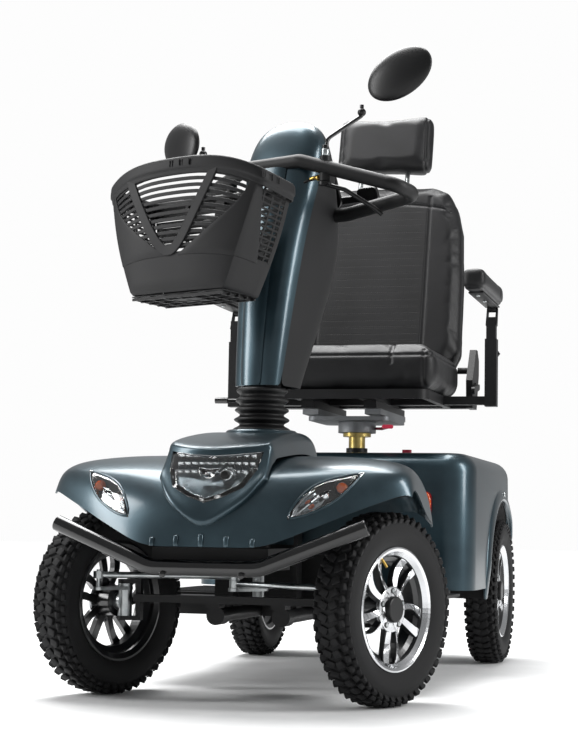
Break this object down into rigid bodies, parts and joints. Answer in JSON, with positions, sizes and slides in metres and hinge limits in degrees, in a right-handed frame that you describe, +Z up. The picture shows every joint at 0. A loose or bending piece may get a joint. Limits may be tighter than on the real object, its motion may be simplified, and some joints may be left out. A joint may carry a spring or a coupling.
{
  "type": "mobility scooter",
  "caption": "Mobility scooter with steered front wheels, tilting tiller with loop handlebar and basket, swivelling reclining seat, painted body over a tube frame.",
  "frame": {"origin": "on the ground, on the centre plane, halfway between the axles; the tyres stand on Z = 0", "axes": "+Z up, -Y forwards, +X to the rider's left; the front wheels and tiller rest turned 22.2 degrees to the rider's right"},
  "size_m": [0.7342, 1.652, 1.4251],
  "materials": {
    "frame_black": "satin black powder coat",
    "black_gloss_tube": "gloss black powder coat",
    "body_paint": "satin metallic blue-grey over moulded ABS",
    "lamp_shell": "vacuum metallised reflector",
    "clear_lens": "clear polycarbonate",
    "black_moulding": "moulded, fine texture",
    "mat_rubber": "ribbed",
    "red_amber_lens": "prismatic reflector",
    "battery_case": "moulded",
    "zinc_plate": "zinc plated",
    "rubber_black": "moulded bellows",
    "tyre_rubber": "block tread",
    "rim_alloy": "machined face, black pockets",
    "cast_axle": "cast housing",
    "shock_steel": "coil spring over damper",
    "red_knob": "moulded",
    "console_face": "satin overlay",
    "grip_foam": "foam sleeve over tube",
    "cable_cover": "smooth sheath",
    "stem_black": "gloss black",
    "control_plastic": "moulded",
    "key_metal": "nickel plated",
    "mirror_shell": "moulded",
    "post_zinc": "yellow zinc plated",
    "swivel_cast": "as cast",
    "tube_black": "satin black",
    "seat_leather": "fine grain, stitched"
  },
  "bodies": {
    "chassis": {"main_frame": "frame_black", "bumper_bar": "black_gloss_tube", "front_cowl": "body_paint", "front_fenders": "body_paint", "lamp_housings": "lamp_shell", "lamp_lenses": "clear_lens", "front_liner": "black_moulding", "deck": "black_moulding", "deck_mat": "mat_rubber", "rear_cover": "body_paint", "reflector_lamps": "red_amber_lens", "power_pack": "battery_case"},
    "steering": {"steering_shaft": "zinc_plate", "tiller_boot": "rubber_black"},
    "knuckle_left": {"knuckle_left": "zinc_plate"},
    "knuckle_right": {"knuckle_right": "zinc_plate"},
    "tie_rod_left": {"tie_rod_left": "zinc_plate"},
    "tie_rod_right": {"tie_rod_right": "zinc_plate"},
    "wheel_front_left": {"tyre_front_left": "tyre_rubber", "rim_front_left": "rim_alloy"},
    "wheel_front_right": {"tyre_front_right": "tyre_rubber", "rim_front_right": "rim_alloy"},
    "wheel_rear_left": {"tyre_rear_left": "tyre_rubber", "rim_rear_left": "rim_alloy"},
    "wheel_rear_right": {"tyre_rear_right": "tyre_rubber", "rim_rear_right": "rim_alloy"},
    "rear_axle": {"transaxle": "cast_axle", "shock_absorbers": "shock_steel"},
    "freewheel_lever": {"freewheel_lever": "red_knob"},
    "tiller": {"tiller_column": "frame_black", "tiller_front_shell": "body_paint", "tiller_rear_shell": "black_moulding", "console": "console_face", "handlebar": "grip_foam", "brake_cable": "cable_cover", "mirror_stems": "stem_black"},
    "basket": {"basket": "black_moulding"},
    "brake_lever": {"brake_lever": "control_plastic"},
    "throttle_lever": {"throttle_lever": "control_plastic"},
    "ignition_key": {"ignition_key": "key_metal"},
    "speed_dial": {"speed_dial": "control_plastic"},
    "horn_button": {"horn_button": "red_knob"},
    "tiller_tilt_lever": {"tiller_tilt_lever": "control_plastic"},
    "mirror_head_left": {"mirror_head_left": "mirror_shell"},
    "mirror_head_right": {"mirror_head_right": "mirror_shell"},
    "seat_post": {"seat_post": "post_zinc"},
    "seat_swivel": {"swivel_plate": "swivel_cast"},
    "swivel_lever": {"swivel_lever": "red_knob"},
    "seat": {"seat_pan": "tube_black", "seat_cushion": "seat_leather"},
    "seat_slide_lever": {"seat_slide_lever": "tube_black"},
    "recliner_lever": {"recliner_lever": "control_plastic"},
    "backrest": {"backrest": "seat_leather"},
    "headrest": {"headrest": "seat_leather"},
    "armrest_tube_left": {"armrest_tube_left": "tube_black"},
    "armrest_post_left": {"armrest_post_left": "tube_black"},
    "armrest_pad_left": {"armrest_pad_left": "seat_leather"},
    "armrest_tube_right": {"armrest_tube_right": "tube_black"},
    "armrest_post_right": {"armrest_post_right": "tube_black"},
    "armrest_pad_right": {"armrest_pad_right": "seat_leather"}
  },
  "joints": [
    {"name": "steer", "type": "hinge", "parent": "chassis", "child": "steering", "pos_m": [0, -0.475, 0.1775], "axis": [0, 0, 1], "range_deg": [-12.8, 57.2]},
    {"name": "knuckle_turn_left", "type": "hinge", "parent": "chassis", "child": "knuckle_left", "pos_m": [0.23647, -0.582, 0.1775], "axis": [0, 0, 1], "range_deg": [-12.8, 57.2]},
    {"name": "tie_rod_swing_left", "type": "hinge", "parent": "steering", "child": "tie_rod_left", "pos_m": [-0.02834, -0.54444, 0.2075], "axis": [0, 0, 1], "range_deg": [-57.2, 12.8]},
    {"name": "wheel_spin_front_left", "type": "hinge", "parent": "knuckle_left", "child": "wheel_front_left", "pos_m": [0.2735, -0.59711, 0.1775], "axis": [0.9259, -0.3778, 0], "continuous": true},
    {"name": "knuckle_turn_right", "type": "hinge", "parent": "chassis", "child": "knuckle_right", "pos_m": [-0.23647, -0.582, 0.1775], "axis": [0, 0, 1], "range_deg": [-12.8, 57.2]},
    {"name": "tie_rod_swing_right", "type": "hinge", "parent": "steering", "child": "tie_rod_right", "pos_m": [-0.02834, -0.54444, 0.2075], "axis": [0, 0, 1], "range_deg": [-57.2, 12.8]},
    {"name": "wheel_spin_front_right", "type": "hinge", "parent": "knuckle_right", "child": "wheel_front_right", "pos_m": [-0.2735, -0.56689, 0.1775], "axis": [0.9259, -0.3778, 0], "continuous": true},
    {"name": "rear_suspension", "type": "hinge", "parent": "chassis", "child": "rear_axle", "pos_m": [0, 0.3, 0.1775], "axis": [1, 0, 0], "range_deg": [-3, 4], "stiffness_Nm_per_rad": 6000, "springref_deg": -1.5, "deforming": ["shock_absorbers"]},
    {"name": "wheel_spin_rear_left", "type": "hinge", "parent": "rear_axle", "child": "wheel_rear_left", "pos_m": [0.2985, 0.582, 0.1775], "axis": [1, 0, 0], "continuous": true},
    {"name": "wheel_spin_rear_right", "type": "hinge", "parent": "rear_axle", "child": "wheel_rear_right", "pos_m": [-0.2985, 0.582, 0.1775], "axis": [1, 0, 0], "continuous": true},
    {"name": "freewheel", "type": "hinge", "parent": "chassis", "child": "freewheel_lever", "pos_m": [0.1, 0.5, 0.47], "axis": [1, 0, 0], "range_deg": [-25, 25]},
    {"name": "tiller_tilt", "type": "hinge", "parent": "steering", "child": "tiller", "pos_m": [0.00189, -0.47037, 0.56], "axis": [-0.9259, 0.3778, 0], "range_deg": [-6, 20], "deforming": ["tiller_boot"]},
    {"name": "basket_lift", "type": "slide", "parent": "tiller", "child": "basket", "axis": [0, 0, 1], "range_m": [0, 0.12]},
    {"name": "brake_squeeze", "type": "hinge", "parent": "tiller", "child": "brake_lever", "pos_m": [0.12323, -0.48533, 0.999], "axis": [0, 0, 1], "range_deg": [0, 14], "stiffness_Nm_per_rad": 0.6},
    {"name": "throttle_wigwag", "type": "hinge", "parent": "tiller", "child": "throttle_lever", "pos_m": [0.06678, -0.31135, 0.99002], "axis": [0.3416, 0.8371, 0.4274], "range_deg": [-14, 14], "stiffness_Nm_per_rad": 0.5},
    {"name": "key_turn", "type": "hinge", "parent": "tiller", "child": "ignition_key", "pos_m": [0.02329, -0.31207, 1.02619], "axis": [0.3416, 0.8371, 0.4274], "range_deg": [0, 90]},
    {"name": "speed_dial_turn", "type": "hinge", "parent": "tiller", "child": "speed_dial", "pos_m": [0.06065, -0.32639, 1.02438], "axis": [0.3416, 0.8371, 0.4274], "range_deg": [-135, 135]},
    {"name": "horn_press", "type": "slide", "parent": "tiller", "child": "horn_button", "axis": [-0.3416, -0.8371, -0.4274], "range_m": [0, 0.003], "stiffness_N_per_m": 300},
    {"name": "tilt_release", "type": "hinge", "parent": "tiller", "child": "tiller_tilt_lever", "pos_m": [-0.04503, -0.40802, 0.64], "axis": [0.9259, -0.3778, 0], "range_deg": [0, 25], "stiffness_Nm_per_rad": 0.6},
    {"name": "mirror_turn_left", "type": "hinge", "parent": "tiller", "child": "mirror_head_left", "pos_m": [0.18521, -0.43933, 1.15], "axis": [0, 0, 1], "range_deg": [-35, 35]},
    {"name": "mirror_turn_right", "type": "hinge", "parent": "tiller", "child": "mirror_head_right", "pos_m": [-0.18023, -0.32909, 1.104], "axis": [0, 0, 1], "range_deg": [-35, 35]},
    {"name": "seat_height", "type": "slide", "parent": "chassis", "child": "seat_post", "axis": [0, 0, 1], "range_m": [0, 0.075]},
    {"name": "seat_swivel", "type": "hinge", "parent": "seat_post", "child": "seat_swivel", "pos_m": [0, 0.376, 0.575], "axis": [0, 0, 1], "continuous": true},
    {"name": "swivel_release", "type": "hinge", "parent": "seat_swivel", "child": "swivel_lever", "pos_m": [0.056, 0.376, 0.568], "axis": [0, 0, 1], "range_deg": [0, 10], "stiffness_Nm_per_rad": 1},
    {"name": "seat_slide", "type": "slide", "parent": "seat_swivel", "child": "seat", "axis": [0, 1, 0], "range_m": [-0.06, 0.06]},
    {"name": "slide_release", "type": "hinge", "parent": "seat", "child": "seat_slide_lever", "pos_m": [-0.15, 0.13, 0.612], "axis": [1, 0, 0], "range_deg": [0, 8], "stiffness_Nm_per_rad": 0.6},
    {"name": "backrest_recline", "type": "hinge", "parent": "seat", "child": "backrest", "pos_m": [0, 0.505, 0.72], "axis": [1, 0, 0], "range_deg": [-18, 45]},
    {"name": "recliner_release", "type": "hinge", "parent": "seat", "child": "recliner_lever", "pos_m": [0.275, 0.47, 0.676], "axis": [1, 0, 0], "range_deg": [0, 20], "stiffness_Nm_per_rad": 0.6},
    {"name": "headrest_height", "type": "slide", "parent": "backrest", "child": "headrest", "axis": [0, 0.2672, 0.9636], "range_m": [0, 0.07]},
    {"name": "armrest_width_left", "type": "slide", "parent": "seat", "child": "armrest_tube_left", "axis": [1, 0, 0], "range_m": [-0.01, 0.05]},
    {"name": "armrest_height_left", "type": "slide", "parent": "armrest_tube_left", "child": "armrest_post_left", "axis": [0, 0, 1], "range_m": [0, 0.07]},
    {"name": "armrest_flip_left", "type": "hinge", "parent": "armrest_post_left", "child": "armrest_pad_left", "pos_m": [0.333, 0.356, 0.851], "axis": [-1, 0, 0], "range_deg": [0, 95]},
    {"name": "armrest_width_right", "type": "slide", "parent": "seat", "child": "armrest_tube_right", "axis": [-1, 0, 0], "range_m": [0, 0.08]},
    {"name": "armrest_height_right", "type": "slide", "parent": "armrest_tube_right", "child": "armrest_post_right", "axis": [0, 0, 1], "range_m": [0, 0.07]},
    {"name": "armrest_flip_right", "type": "hinge", "parent": "armrest_post_right", "child": "armrest_pad_right", "pos_m": [-0.303, 0.356, 0.851], "axis": [-1, 0, 0], "range_deg": [0, 95]}
  ],
  "couplings": [
    {"joint": "knuckle_turn_left", "follows": "steer", "ratio": 1},
    {"joint": "tie_rod_swing_left", "follows": "steer", "ratio": -1},
    {"joint": "knuckle_turn_right", "follows": "steer", "ratio": 1},
    {"joint": "tie_rod_swing_right", "follows": "steer", "ratio": -1}
  ]
}
